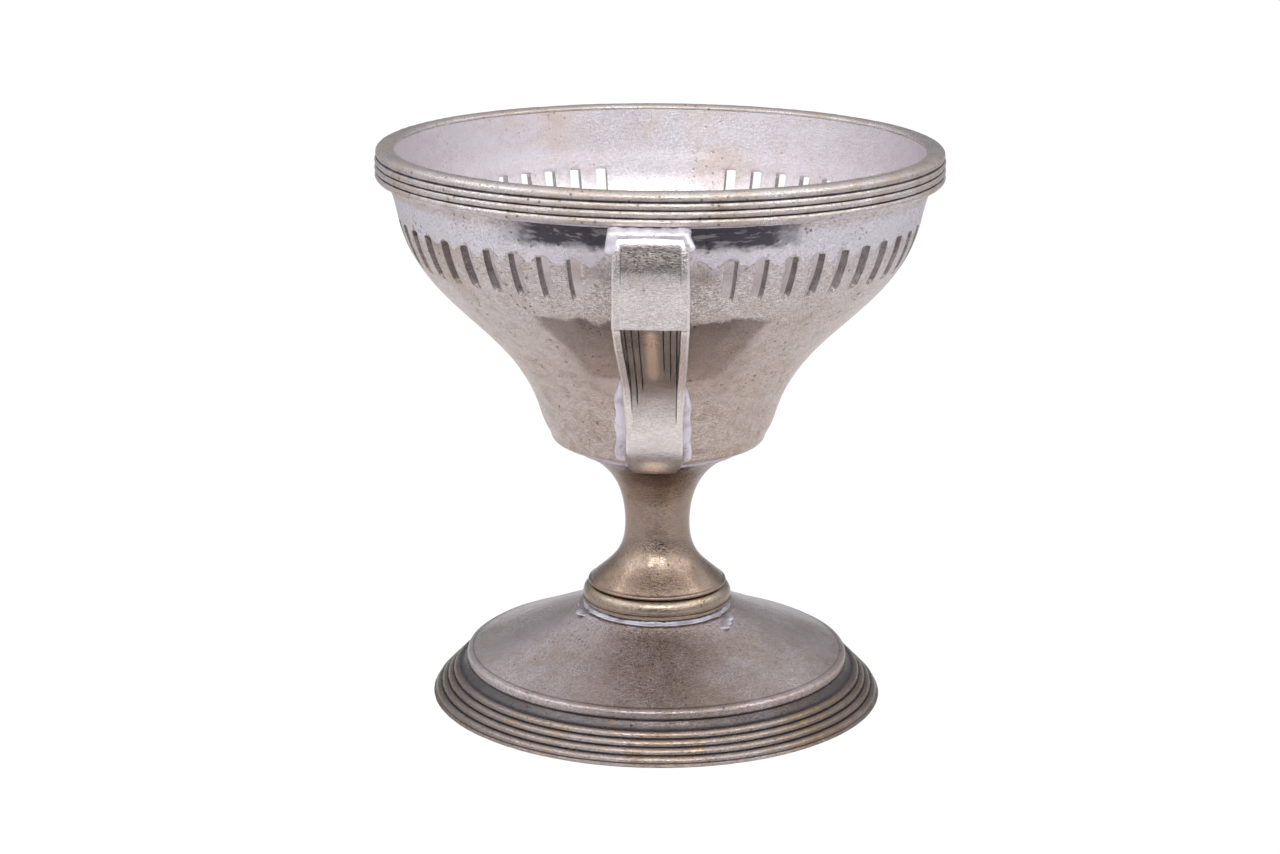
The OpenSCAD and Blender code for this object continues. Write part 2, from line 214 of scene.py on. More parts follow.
def worn_plate(
    name,
    clean,
    warm,
    warmth,
    brass=0.1,
    stain=0.3,
    shine=0.2,
    scratches=0.5,
    pits=0.5,
    lumps=1.0,
    slots=False,
):
    """Silver plate worn by use: warm where it is thin, stained, pitted and finely scratched, with painted
    shade and tarnish in its grooves, and painted shade and glints where a piece carries them.

    Warmth, brass, stain, scratches, pits and lumps say how much of each there is, and shine is the
    roughness of the clean metal. Slots adds the pierced wall's own wear and its painted shade and
    reflections.
    """
    material = bpy.data.materials.new(name)
    t = Tree(material)
    place = t.place()
    clouds = t.noise(place, 45, 5, 0.6)
    patches = t.noise(place, 130, 5, 0.62)
    blotches = t.noise(place, 420, 4, 0.6)
    grain = t.noise(place, 2600, 3, 0.6)
    across = t.noise(place, 1300, 4, 0.65, (1, 1, 11), 0.35)
    along = t.noise(place, 1500, 4, 0.65, (9, 1, 1), -0.5)
    hollow = t.painted("hollow")

    thin = (clouds * 0.6 + patches * 0.4).smooth(0.62 - 0.25 * warmth, 0.72 - 0.15 * warmth)
    bare = (patches * 0.65 + blotches * 0.35).smooth(0.66 - 0.2 * brass, 0.74 - 0.2 * brass)
    stained = (clouds * 0.35 + blotches * 0.65).smooth(0.68 - 0.12 * stain, 0.8 - 0.12 * stain)
    pitted = t.spots(place, 700, 0.24) * patches.smooth(0.54 - 0.12 * pits, 0.62)
    specks = t.spots(place, 1700, 0.25) * blotches.smooth(0.52 - 0.12 * pits, 0.62)
    marks = across.smooth(0.50, 0.62) * 0.5 + along.smooth(0.51, 0.63) * 0.5

    colour = t.mix(thin * (0.35 + 0.6 * warmth), clean, warm)
    colour = t.mix(bare * min(1, brass * 1.6), colour, BARE_BRASS)
    colour = t.mix(stained * stain, colour, TARNISH)
    colour = t.mix(blotches.smooth(0.44, 0.62) * 0.3 * stain, colour, BARE_BRASS)
    colour = t.mix((marks * 0.35 + grain.smooth(0.45, 0.68) * 0.2) * scratches, colour, TARNISH)
    # Painted shade and painted dark reflections, where a piece's attribute carries them
    colour = t.mix((t.painted("painted_shade") * (0.6 + 0.7 * patches)).clamp(), colour, SHADE_BROWN)
    # Painted highlights, partly bare brass, where a piece's attribute carries them
    colour = t.mix(t.painted("glint_and_brass"), colour, ORANGE_GLINT_AND_BRASS)
    # Painted shade in narrow grooves and recesses, together with the tarnish lodged there, and real pits
    # and specks
    shade_and_dirt = (hollow.smooth(0.08, 0.55) * (0.65 + 0.6 * blotches)).clamp()
    shade_and_dirt = (shade_and_dirt + pitted * 0.75 * pits + specks * 0.6 * pits).clamp()
    if slots:
        colour, edge, dark_rim_reflection = bowl_wear(t, place, patches, blotches, colour)
    colour = t.mix(shade_and_dirt * 0.93, colour, GROOVE_SHADE_AND_DIRT)

    roughness = shine * (0.7 + 0.5 * patches + 0.6 * stained + 0.4 * thin + 0.3 * marks) + 0.14 * shade_and_dirt
    height = blotches * (0.13 * lumps) + grain * (0.022 * lumps)
    height = height - marks * 0.09 * scratches - (pitted + specks * 0.5) * 0.07
    if slots:
        height = height + edge * 0.22
        roughness = roughness + dark_rim_reflection * 0.12
    bump = t.node("ShaderNodeBump", {}, {"Strength": 0.55, "Distance": 0.0009, "Height": height})
    shader = t.node(
        "ShaderNodeBsdfPrincipled",
        {},
        {
            "Base Color": colour,
            "Metallic": 1 - shade_and_dirt * 0.3,
            "Roughness": roughness.clamp(),
            "Normal": bump,
        },
    )
    t.node("ShaderNodeOutputMaterial", {}, {"Surface": shader})
    return material


def solder_skin(name, pale, dull, metallic):
    """Silver solder that has kept its pale, slightly lilac skin."""
    material = bpy.data.materials.new(name)
    t = Tree(material)
    place = t.place()
    patches = t.noise(place, 350, 4, 0.6)
    grain = t.noise(place, 2200, 3, 0.6)
    crevice = t.noise(place, 900, 4, 0.65).smooth(0.6, 0.72)
    colour = t.mix(patches.smooth(0.42, 0.66), pale, dull)
    colour = t.mix(crevice * 0.6, colour, TARNISH)
    height = patches * 0.12 + grain * 0.02 - crevice * 0.06
    bump = t.node("ShaderNodeBump", {}, {"Strength": 0.5, "Distance": 0.0008, "Height": height})
    shader = t.node(
        "ShaderNodeBsdfPrincipled",
        {},
        {
            "Base Color": colour,
            "Metallic": metallic - crevice * 0.2,
            "Roughness": 0.36 + 0.14 * patches + 0.2 * crevice,
            "Normal": bump,
        },
    )
    t.node("ShaderNodeOutputMaterial", {}, {"Surface": shader})
    return material


# ---------------------------------------------------------------- outlines, in millimetres


def toward(a, b, share):
    return Vector((a[0] + (b[0] - a[0]) * share[0], a[1] + (b[1] - a[1]) * share[1]))


def curve(a, b, lead, tail):
    """A curve from a to b. Its two handles are shares of the way from a to b."""
    return [Vector(a), toward(a, b, lead), toward(a, b, tail), Vector(b)]


def point(k, t):
    """The place at a share t of the way along a curve."""
    u = 1 - t
    return k[0] * u**3 + k[1] * 3 * t * u * u + k[2] * 3 * t * t * u + k[3] * t**3


def right_of(k, t):
    """The unit normal to the right of the curve's direction."""
    u = 1 - t
    slope = (k[1] - k[0]) * u * u + (k[2] - k[1]) * 2 * t * u + (k[3] - k[2]) * t * t
    return Vector((slope.y, -slope.x)).normalized()


def run(k, steps, off=0.0, first=0):
    """Points along a curve, moved to its right by "off"."""
    return [point(k, i / steps) + right_of(k, i / steps) * off for i in range(first, steps + 1)]


def place_at(k, height):
    """The place along a rising curve that lies at a height."""
    low, high = 0.0, 1.0
    for _ in range(30):
        middle = (low + high) / 2
        low, high = (middle, high) if point(k, middle).y < height else (low, middle)
    return low


def line(a, b, steps):
    """Points along a straight line, without its last."""
    return [Vector(a).lerp(Vector(b), i / steps) for i in range(steps)]


def reeds(a, b, count, relief, steps=14):
    """A row of full, flat-topped reeds from a to b, standing out to the right of the row."""
    step = (Vector(b) - Vector(a)) / count
    out = Vector((step.y, -step.x)).normalized()
    return [
        Vector(a) + step * (i + j / steps) + out * relief * math.sin(math.pi * j / steps) ** 0.75
        for i in range(count)
        for j in range(steps)
    ]


def corners(node):
    """A CAD node's lowest and highest corners, in millimetres."""
    low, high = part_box(node)
    return low / MM, high / MM


rim_low, rim_high = corners("rim_border")
bowl_low, bowl_high = corners("bowl")
stem_low, stem_high = corners("stem")
ring_low, ring_high = corners("stem_ring")
foot_low, foot_high = corners("foot")
_, border_high = corners("foot_border")
strap_low, strap_high = corners("handle_front")

# Clearance between pieces, and how far a reed stands out
GAP = 0.05
RELIEF = 0.42
RIM_REEDS = 3
FOOT_REEDS = 4
BOWL_WALL = 1.5
SPIGOT_R = 4.0
# A little inside the frame, because wear moves the surface both ways
RIM_R = rim_high.x - 0.05
RIM_TOP = rim_high.z - 0.07
SEAT_R = bowl_high.x
FOOT_R = border_high.x
FLAT_R = stem_high.x + 0.4
HEEL_R = FLAT_R + 3.9
WAIST_R = HEEL_R + 1.6
SHOULDER = (SEAT_R - 2.0, rim_high.z - 11.7)
BASE_Z = bowl_low.z

HEEL = curve((FLAT_R, BASE_Z), (HEEL_R, BASE_Z + 2.4), (0.67, 0.37), (1, 0.5))
LOWER_WALL = curve(HEEL[3], (WAIST_R, BASE_Z + 5.8), (0.22, 0.24), (0.69, 0.53))
OGEE = curve(LOWER_WALL[3], SHOULDER, (0.187, 0.473), (0.871, 0.562))
NECK = curve(OGEE[3], (SEAT_R, rim_low.z), (0.2, 0.32), (0.5, 0.75))

# A row part-way across the flat bottom
FLAT_MIDDLE_R = 9

SLOTS_A_SIDE = 23
SLOT_W = 2.1
SLOT_FIRST = math.radians(16.1)
SLOT_PITCH = (math.pi - 2 * SLOT_FIRST) / (SLOTS_A_SIDE - 1)
SLOT_HALF = math.asin(SLOT_W / 2 / SHOULDER[0])
SLOT_ARCH = 0.15
SLOT_TOP = SHOULDER[1] - 0.1
SLOT_LOW = SLOT_TOP - 7.2
# The painted reflection and shade, a warm dark, on the wall either side of each handle
PATCH_TOP = SLOT_LOW - 3.4
PATCH_LOW = SLOT_LOW - 16


def bowl_wear(t, place, patches, blotches, colour):
    """The bowl's wear and painted light: solder skin over the slots, a painted dark reflection under the
    rim, a painted reflection by the handles and painted shade beside the slots.
    """
    x, y, z = t.axes(place)
    # the angle from the nearer handle's middle, 0 to a right angle
    angle = x.maths("ARCTAN2", abs(x), abs(y))
    uneven = blotches - 0.5
    rough = patches - 0.5
    phase = (angle - SLOT_FIRST) * (math.tau / SLOT_PITCH)
    turn = phase.maths("COSINE", phase)
    drip = 0.5 - 0.5 * turn
    swing = phase.maths("SINE", phase)
    beside_slot = 1 - abs(turn - 0.3).smooth(0.05, 0.16)
    above_foot = (z - SLOT_LOW * MM).smooth(0.3 * MM, 0.9 * MM)
    below_head = 1 - (z - SLOT_TOP * MM).smooth(-0.2 * MM, 0.3 * MM)
    # Painted shade: a dark line down one side of each slot, where its cut edge is in shadow
    line = beside_slot * swing.smooth(0, 0.3) * above_foot * below_head
    line = line * (angle - 0.2).smooth(0, 0.02) * (0.3 + blotches)
    edge_z = (SLOT_TOP + 0.5) * MM - drip * (1.5 * MM) + uneven * (3 * MM)
    skin = (z - edge_z).smooth(-0.1 * MM, 0.1 * MM) * (1 - (z - (rim_low.z - 2.6) * MM).smooth(0, 1.6 * MM))
    colour = t.mix(skin * 0.8, colour, LILAC_SILVER)

    # Painted dark reflection of the rim's underside, in a streaky band under the rim beside each handle
    streaks = t.noise(place, 700, 4, 0.65, (0.3, 1, 1.6))
    beside = 1 - (angle + rough * 0.25).smooth(0.42, 0.6)
    under = (z + uneven * (3 * MM)).smooth((SLOT_TOP + 1.5) * MM, (SLOT_TOP + 3) * MM)
    dark_rim_reflection = under * beside * (0.7 + 1.1 * streaks.smooth(0.38, 0.62)).clamp()
    colour = t.mix(dark_rim_reflection * 0.94, colour, BLACK_SHADE_AND_TARNISH)

    # Painted reflection and shade on the wall beside each handle, darkest nearest the handle
    lifted = z + rough * (6 * MM)
    near = 1 - (angle - (z - PATCH_LOW * MM) * 9 + rough * 0.15).smooth(0.36, 0.42)
    handle_side_reflection = lifted.smooth((PATCH_LOW - 0.5) * MM, (PATCH_LOW + 1) * MM) * near
    handle_side_reflection = handle_side_reflection * (1 - lifted.smooth((PATCH_TOP - 0.4) * MM, (PATCH_TOP + 0.4) * MM))
    closer = 1 - (angle + rough * 0.2).smooth(0.3, 0.36)
    colour = t.mix(handle_side_reflection * (0.84 + 0.14 * closer), colour, BROWN_REFLECTION)
    colour = t.mix(handle_side_reflection * closer * 0.4, colour, BLACK_SHADE_AND_TARNISH)

    lower = 1 - z.smooth((SLOT_LOW - 18) * MM, (SLOT_LOW + 6) * MM)
    colour = t.mix(lower * (0.35 + 0.6 * patches), colour, CHAMPAGNE)
    colour = t.mix(lower * blotches.smooth(0.48, 0.62) * 0.18, colour, TARNISH)
    pocks = t.spots(place, 1100, 0.3) * skin * angle.smooth(0.5, 0.7) * patches.smooth(0.4, 0.6)
    # The slots' painted edge shade, with real pocks in the solder skin
    colour = t.mix((line * 0.7 + pocks * 0.6).clamp(), colour, BLACK_SHADE_AND_TARNISH)
    return colour, skin - pocks * 0.5, dark_rim_reflection


# ---------------------------------------------------------------- mesh helpers


def ease(value, low, high):
    """0 below low and 1 above high, with a soft step between."""
    share = min(1.0, max(0.0, (value - low) / (high - low)))
    return share * share * (3 - 2 * share)


def hump(distance, width):
    """1 at no distance, falling smoothly to nothing past the width."""
    return math.exp(-((distance / width) ** 2))


def new_bmesh():
    bm = bmesh.new()
    return bm, bm.verts.layers.float.new("hollow")


def hollows(outline):
    """How deep in a narrow groove each point of a closed outline lies, from 0 to 1."""
    widest, deepest = 1.6, 0.1
    found = []
    for i, here in enumerate(outline):
        before, after = outline[i - 2], outline[(i + 2) % len(outline)]
        across = after - before
        outward = Vector((across.y, -across.x)).normalized()
        depth = ((before + after) / 2 - here).dot(outward)
        found.append(min(1.0, max(0.0, depth / deepest)) if across.length <= widest else 0.0)
    return found


def worn(bm, depth, size):
    """Moves each point in or out a little, in soft lumps of that size, in millimetres."""
    bm.normal_update()
    for v in bm.verts:
        v.co += v.normal * (depth * MM * noise.noise(v.co / (size * MM)))


def tint(bm, share):
    """Paints shade onto each point, by a function of its angle from the front and its radius."""
    painted_shade = bm.verts.layers.float.new("painted_shade")
    for v in bm.verts:
        v[painted_shade] = share(math.atan2(v.co.x, -v.co.y), math.hypot(v.co.x, v.co.y) / MM)


def lathe(outline, steps=240, closed=True, shaded_box=None):
    """Turns an outline of radius and height about the cup's axis. The given (low, high) box of the outline
    gets painted shade.
    """
    bm, hollow = new_bmesh()
    verts = [bm.verts.new((0, -p.x * MM, p.y * MM)) for p in outline]
    edges = [bm.edges.new(pair) for pair in zip(verts, verts[1:])]
    if closed:
        edges.append(bm.edges.new((verts[-1], verts[0])))
        for v, depth in zip(verts, hollows(outline)):
            v[hollow] = depth
    # Painted shade in the given box, a recess under an edge
    if shaded_box:
        low, high = shaded_box
        for v, p in zip(verts, outline):
            if low[0] < p.x < high[0] and low[1] < p.y < high[1]:
                v[hollow] = 0.4
    bmesh.ops.spin(
        bm, geom=verts + edges, cent=CENTRE, axis=UP, angle=math.tau, steps=steps, use_merge=True
    )
    bmesh.ops.remove_doubles(bm, verts=bm.verts, dist=0.001 * MM)
    bmesh.ops.recalc_face_normals(bm, faces=bm.faces)
    return bm


def make_piece(bm, name, material, slot, *stands_for, sharp=35):
    """Turns a finished bmesh into a piece that rides on the cup."""
    mesh = bpy.data.meshes.new(name)
    bm.to_mesh(mesh)
    bm.free()
    mesh.shade_smooth()
    mesh.set_sharp_from_angle(angle=math.radians(sharp))
    mesh.materials.append(material)
    piece = add_object(name, mesh)
    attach(piece, "root")
    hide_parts(*stands_for)
    return piece


# ---------------------------------------------------------------- bowl


def off_slot(x, y):
    """The angle between a point and the middle of the nearest slot."""
    angle = math.atan2(abs(x), abs(y))
    nearest = max(0, round((angle - SLOT_FIRST) / SLOT_PITCH))
    return abs(angle - SLOT_FIRST - nearest * SLOT_PITCH)


def wall_stretches():
    """The turns that build the wall, as an angle and a number of steps, from the front handle round."""
    plate = (SLOT_FIRST - SLOT_HALF, 10)
    slot = (2 * SLOT_HALF, 4)
    web = (SLOT_PITCH - 2 * SLOT_HALF, 4)
    side = [plate, slot] + [web, slot] * (SLOTS_A_SIDE - 1) + [plate]
    return side * 2


def bowl_rows():
    """The bowl's outer face from its hole to its edge, with rows exactly at the slots' ends."""
    low_t, top_t = place_at(OGEE, SLOT_LOW), place_at(OGEE, SLOT_TOP)
    rows = [Vector((SPIGOT_R + GAP, BASE_Z)), Vector((FLAT_MIDDLE_R, BASE_Z))]
    rows += run(HEEL, 8) + run(LOWER_WALL, 5, 0, 1)
    rows += [point(OGEE, low_t * i / 20) for i in range(1, 21)]
    rows += [point(OGEE, low_t + (top_t - low_t) * i / 10) for i in range(1, 11)]
    return rows + run(NECK, 9, 0, 1) + [Vector((SEAT_R, bowl_high.z - 0.75 * i)) for i in range(5, -1, -1)]


def cut_slots(bm):
    """Cuts the slots out of the thin shell, and arches their heads a little."""
    holes = []
    for face in bm.faces:
        middle = face.calc_center_median()
        in_slot = off_slot(middle.x, middle.y) < SLOT_HALF and SLOT_LOW < middle.z / MM < SLOT_TOP
        if in_slot:
            holes.append(face)
    bmesh.ops.delete(bm, geom=holes, context="FACES")
    for v in bm.verts:
        if v.is_boundary and abs(v.co.z / MM - SLOT_TOP) < 0.05:
            share = off_slot(v.co.x, v.co.y) / SLOT_HALF
            v.co.z += SLOT_ARCH * MM * max(0, 1 - share * share)


def soften_slots(bm):
    """Takes the sharpness off the slots' edges, once the wall is thick."""
    rims = []
    for edge in bm.edges:
        middle = (edge.verts[0].co + edge.verts[1].co) / 2
        if SLOT_LOW - 2 < middle.z / MM < SLOT_TOP + 1 and edge.is_manifold:
            if edge.calc_face_angle() > math.radians(50):
                rims.append(edge)
    bmesh.ops.bevel(
        bm, geom=rims, offset=0.09 * MM, segments=2, profile=0.5, affect="EDGES", material=-1
    )


def inner_faces(bm):
    """The faces that look into the bowl, without the slots' own sides."""
    found = []
    for face in bm.faces:
        middle = face.calc_center_median()
        # leans a little down, so that only the upper side of the flat bottom counts
        outward = Vector((middle.x, middle.y, -0.004))
        sideways = middle.cross(UP).normalized()
        if face.normal.dot(outward) < 0 and abs(face.normal.dot(sideways)) < 0.5:
            found.append(face)
    return found


def ease_inner_wall(faces):
    """Slopes the inner wall straight from the slots to the lip, with no crease inside the neck."""
    lip_r = SEAT_R - BOWL_WALL
    slope_r = SHOULDER[0] - BOWL_WALL
    for v in {v for face in faces for v in face.verts if v.co.z / MM > SLOT_TOP + 0.5}:
        r = math.hypot(v.co.x, v.co.y) / MM
        share = (v.co.z / MM - SLOT_TOP) / (bowl_high.z - SLOT_TOP)
        eased = slope_r + (lip_r - slope_r) * share**0.9
        if r < SEAT_R - 0.5:
            factor = min(1.0, eased / r)
            v.co.x *= factor
            v.co.y *= factor


def bowl():
    """A spun shell with an ogee wall, pierced by upright slots between the handles."""
    rows = bowl_rows()
    bm, _ = new_bmesh()
    verts = [bm.verts.new((0, -p.x * MM, p.y * MM)) for p in rows]
    last = verts + [bm.edges.new(pair) for pair in zip(verts, verts[1:])]
    for angle, steps in wall_stretches():
        turned = bmesh.ops.spin(bm, geom=last, cent=CENTRE, axis=UP, angle=angle, steps=steps)
        last = turned["geom_last"]
    bmesh.ops.remove_doubles(bm, verts=bm.verts, dist=0.01 * MM)
    bmesh.ops.recalc_face_normals(bm, faces=bm.faces)
    cut_slots(bm)
    bmesh.ops.solidify(bm, geom=list(bm.faces), thickness=BOWL_WALL * MM)
    soften_slots(bm)
    inner = inner_faces(bm)
    ease_inner_wall(inner)
    # Painted shade: the inside darkens towards its bottom
    painted_shade = bm.verts.layers.float.new("painted_shade")
    for face in inner:
        face.material_index = 1
        for v in face.verts:
            v[painted_shade] = 0.7 * (1 - ease(v.co.z / MM, SLOT_LOW - 8, SLOT_LOW + 4))
    worn(bm, 0.05, 7)
    worn(bm, 0.012, 1.6)
    outside = worn_plate(
        "bowl_plate", clean=(0.82, 0.77, 0.77), warm=(0.66, 0.55, 0.48), warmth=0.6, stain=0.7,
        pits=0.9, scratches=1.3, slots=True,
    )
    inside = worn_plate(
        "bowl_inside", clean=(0.88, 0.84, 0.89), warm=(0.80, 0.67, 0.62), warmth=0.5, brass=0.05,
        stain=0.35, shine=0.34, scratches=0.7, pits=0.5, lumps=0.3,
    )
    make_piece(bm, "pierced_bowl", outside, "silver_plate", "bowl").data.materials.append(inside)


# ---------------------------------------------------------------- rim


def rim_border():
    """A reeded wire with a plain roll on top, lapped over the bowl's edge."""
    root_r = RIM_R - RELIEF
    lip_r = SEAT_R - BOWL_WALL
    seat_r = SEAT_R + GAP
    roll_low = (root_r, RIM_TOP - 1.6)
    roll = curve(roll_low, (SEAT_R + 0.2, RIM_TOP), (-0.6, 0.5), (0.07, 1))
    lip = curve((SEAT_R + 0.2, RIM_TOP), (lip_r, RIM_TOP - 0.6), (0.6, 0), (1, 0.3))
    outline = [Vector((seat_r, rim_low.z)), Vector((root_r - 0.5, rim_low.z))]
    outline += reeds((root_r, rim_low.z), roll_low, RIM_REEDS, RELIEF)
    outline += run(roll, 10) + run(lip, 8, 0, 1)
    outline += [Vector((lip_r, bowl_high.z + GAP)), Vector((seat_r, bowl_high.z + GAP))]
    bm = lathe(outline, 300)
    worn(bm, 0.05, 1.4)
    worn(bm, 0.04, 9)
    finish = worn_plate(
        "rim_plate", clean=(0.78, 0.73, 0.73), warm=(0.66, 0.57, 0.51), warmth=0.8, brass=0.18,
        stain=0.6, shine=0.26, pits=0.9, scratches=0.9,
    )
    return make_piece(bm, "rim_reeding", finish, "silver_plate", "rim_border", sharp=60)


def rim_solder(finish):
    """A thin fillet in the angle between the rim border and the neck."""
    last = run(NECK, 4, 0, 3)
    low = last[1].lerp(last[0], 0.56 / (last[1].y - last[0].y))
    face = curve(low, (SEAT_R + 0.7, rim_low.z), (0.1, 0.5), (0.5, 0.85))
    outline = run(face, 5) + [last[1]]
    bm = lathe(outline, 240)
    worn(bm, 0.06, 1.5)
    return make_piece(bm, "solder_under_rim", finish, "solder", "rim_solder")


# ---------------------------------------------------------------- handles

STRAP_R = -strap_low.y
STRAP_TOP = strap_high.z
PANEL_TALL = 14.6
STEP_Z = STRAP_TOP - PANEL_TALL
STEP_R = STRAP_R - 1.4
STEP_T = 0.8
STRAP_T = 2.0
TOE_Z = strap_low.z
HANDLE_HALF = strap_high.x
TOE_HALF = 4.7
BELLY_Z = STRAP_TOP - 0.37 * PANEL_TALL
LAND = run(OGEE, 100, STRAP_T + 0.25)[27]
BROW = curve((STRAP_R - 1.5, STRAP_TOP), (STRAP_R, BELLY_Z), (0.67, 0.02), (1, 0.56))
CHEEK = curve(BROW[3], (STEP_R, STEP_Z), (0, 0.33), (0.64, 0.73))
SWEEP = curve((STEP_R - STEP_T, STEP_Z - 0.3), LAND, (0.16, 0.3), (0.93, 0.8))
SHIN = curve(LAND, (WAIST_R + 3.2, TOE_Z + 3.2), (0.43, 0.32), (1.14, 0.72))
TOE = curve(SHIN[3], (WAIST_R + 0.6, TOE_Z), (-0.15, 0.5), (0.31, 1))
# The strap's last rows are eased into each other this many times, so that its sweep runs into its shin
EASED_ROWS = 130
EASED_TIMES = 150
RAIL_W = 1.3
RAIL_SEAM_W = 0.12
# Each engraved line: its place across at the step, its place across this far below it, and its length
ENGRAVED_DEPTH = 0.22
ENGRAVED_SPAN = 23.8
ENGRAVED = [
    (-4.1, -3.5, 21.3), (-3.05, -2.55, 20.3), (-1.95, -1.65, 17.3),
    (1.95, 1.65, 13.8), (3.05, 2.55, 14.8), (4.1, 3.5, 23.3),
]
DIMPLES = (-2.1, 2.1)
# The middle of the rounded toe's swelling, which catches the light
TOE_SWELL_Z = TOE_Z + 1.6


def wall_radius(height):
    """The radius of the bowl's outer face at a height."""
    if height < LOWER_WALL[0].y:
        return HEEL_R - 1.2
    face = LOWER_WALL if height < OGEE[0].y else OGEE
    return point(face, place_at(face, height)).x


def strap_rows():
    """The rows of the strap's front face, from the neck to the toe: place, normal and place behind."""
    rows = []
    neck_r = SEAT_R - 0.6
    for p in line((neck_r, STRAP_TOP), BROW[0], 8):
        rows.append((p, Vector((0, 1)), Vector((p.x, STRAP_TOP - STRAP_T))))
    for face, steps in ((BROW, 26), (CHEEK, 44), (SWEEP, 90)):
        for i in range(steps + 1):
            p, out = point(face, i / steps), -right_of(face, i / steps)
            rows.append((p, out, p - out * STRAP_T))
    for face, steps in ((SHIN, 50), (TOE, 22)):
        for i in range(1, steps + 1):
            p, out = point(face, i / steps), -right_of(face, i / steps)
            rows.append((p, out, Vector((wall_radius(p.y) - 0.5, p.y + 0.1))))
    for _ in range(EASED_TIMES):
        for i in range(len(rows) - EASED_ROWS, len(rows) - 3):
            (before, out_before, _), (here, _, behind), (after, out_after, _) = rows[i - 1 : i + 2]
            eased = (here + (before + after) / 2) / 2
            rows[i] = (eased, (out_before + out_after).normalized(), behind)
    return rows


def strap_half(height):
    """Half of the strap's width at a height."""
    bend = LAND.y + 1
    bend_half = TOE_HALF + 0.4
    if height > STEP_Z:
        return HANDLE_HALF
    if height > bend:
        return bend_half + (HANDLE_HALF - bend_half) * ((height - bend) / (STEP_Z - bend)) ** 0.85
    narrow = TOE_HALF + 0.4 * ease(height, (bend + TOE_Z) / 2, bend)
    return narrow - 1.1 * (1 - ease(height, TOE_Z - 0.3, TOE_Z + 2.2)) ** 2


def panel_height(side, half, z):
    """The upper panel: crowned, and sunk a little between its raised edges."""
    rail = ease(side, half - RAIL_W - 0.25, half - RAIL_W + 0.05)
    sunk = 0.22 * ease(STRAP_TOP - z, 0.8, 2.2) * (1 - 0.5 * ease(STEP_Z + 2.5 - z, 0, 2.5))
    crown = 0.24 * (1 - (side / half) ** 2) - 0.24
    seam = hump(side - half + RAIL_W + RAIL_SEAM_W, RAIL_SEAM_W)
    # Painted shade with the tarnish in the seam beside each raised edge
    shade_and_dirt = 0.5 * seam * ease(STRAP_TOP - z, 1.5, 3) * ease(z, STEP_Z + 5, STEP_Z + 9)
    return crown - sunk * (1 - rail) - 0.03, shade_and_dirt


def trough_height(across, half, z):
    """The lower panel: a hollow between rails, engraved, with two dimples under the step."""
    side = abs(across)
    rail = ease(side, half - RAIL_W - 0.25, half - RAIL_W + 0.05)
    fade = ease(z, TOE_Z + 4, LAND.y + 6)
    arch = 1 - (side / half) ** 2
    height = -(0.5 + 0.25 * arch) * fade * (1 - rail)
    # Painted shade with the tarnish in the rails' seams, the engraved lines and the dimples
    shade_and_dirt = 0.7 * hump(side - half + RAIL_W + RAIL_SEAM_W, RAIL_SEAM_W) * fade
    for top_x, end_x, length in ENGRAVED:
        middle = top_x + (end_x - top_x) * (STEP_Z - z) / ENGRAVED_SPAN
        cut = hump(across - middle, 0.09) * ease(z, STEP_Z - length, STEP_Z - length + 4)
        height -= ENGRAVED_DEPTH * cut
        shade_and_dirt = max(shade_and_dirt, 0.52 * cut)
    for dimple in DIMPLES:
        cut = hump(across - dimple, 0.35) * hump(z - STEP_Z + 0.5, 0.3)
        height -= 0.35 * cut
        shade_and_dirt = max(shade_and_dirt, cut)
    return height + 0.45 * arch * hump(z - TOE_SWELL_Z, 1.6), shade_and_dirt


def strap_height(across, half, z):
    """How far the front face stands out of its row, and how much painted shade and tarnish it carries
    there.
    """
    side = abs(across)
    edge = -0.45 * max(0.0, (side - half + 0.5) / 0.5) ** 2
    height, shade_and_dirt = panel_height(side, half, z) if z > STEP_Z else trough_height(across, half, z)
    return edge + height, shade_and_dirt


def strap_tints(across, half, z):
    """How much painted shade and painted glint the strap carries: a painted reflection darkening the
    trough, with a painted glint, partly bare brass, down its middle; painted shade round the toe's painted
    highlight; and a painted dark band under the crown.
    """
    inside = 1 - ease(abs(across), half - RAIL_W - 0.3, half - RAIL_W + 0.1)
    # Painted highlight down the trough's middle, partly bare brass
    trough_glint = hump(across, 0.75) * ease(z, STEP_Z - 13.8, STEP_Z - 10.8)
    trough_glint *= 1 - ease(z, STEP_Z - 2.5, STEP_Z - 0.6)
    # Painted reflection of the foot, darkening the trough
    trough = inside * ease(z, STEP_Z - 24.8, STEP_Z - 11.8) * (1 - ease(z, STEP_Z - 0.3, STEP_Z + 0.2))
    # Painted round highlight on the toe's swelling, with painted shade round it
    toe_glint = hump(across, 1.7) * hump(z - TOE_SWELL_Z, 1.2)
    toe = (1 - ease(z, TOE_Z + 2.5, TOE_Z + 4.5)) * (1 - toe_glint)
    # Painted dark reflection in a band under the crown
    top = inside * ease(z, STEP_Z + 8.6, STEP_Z + 9.8) * (1 - ease(z, STRAP_TOP - 2, STRAP_TOP - 1))
    return max(0.85 * trough * (1 - trough_glint), 0.8 * toe, 0.5 * top), max(0.8 * trough_glint, 0.7 * toe_glint)


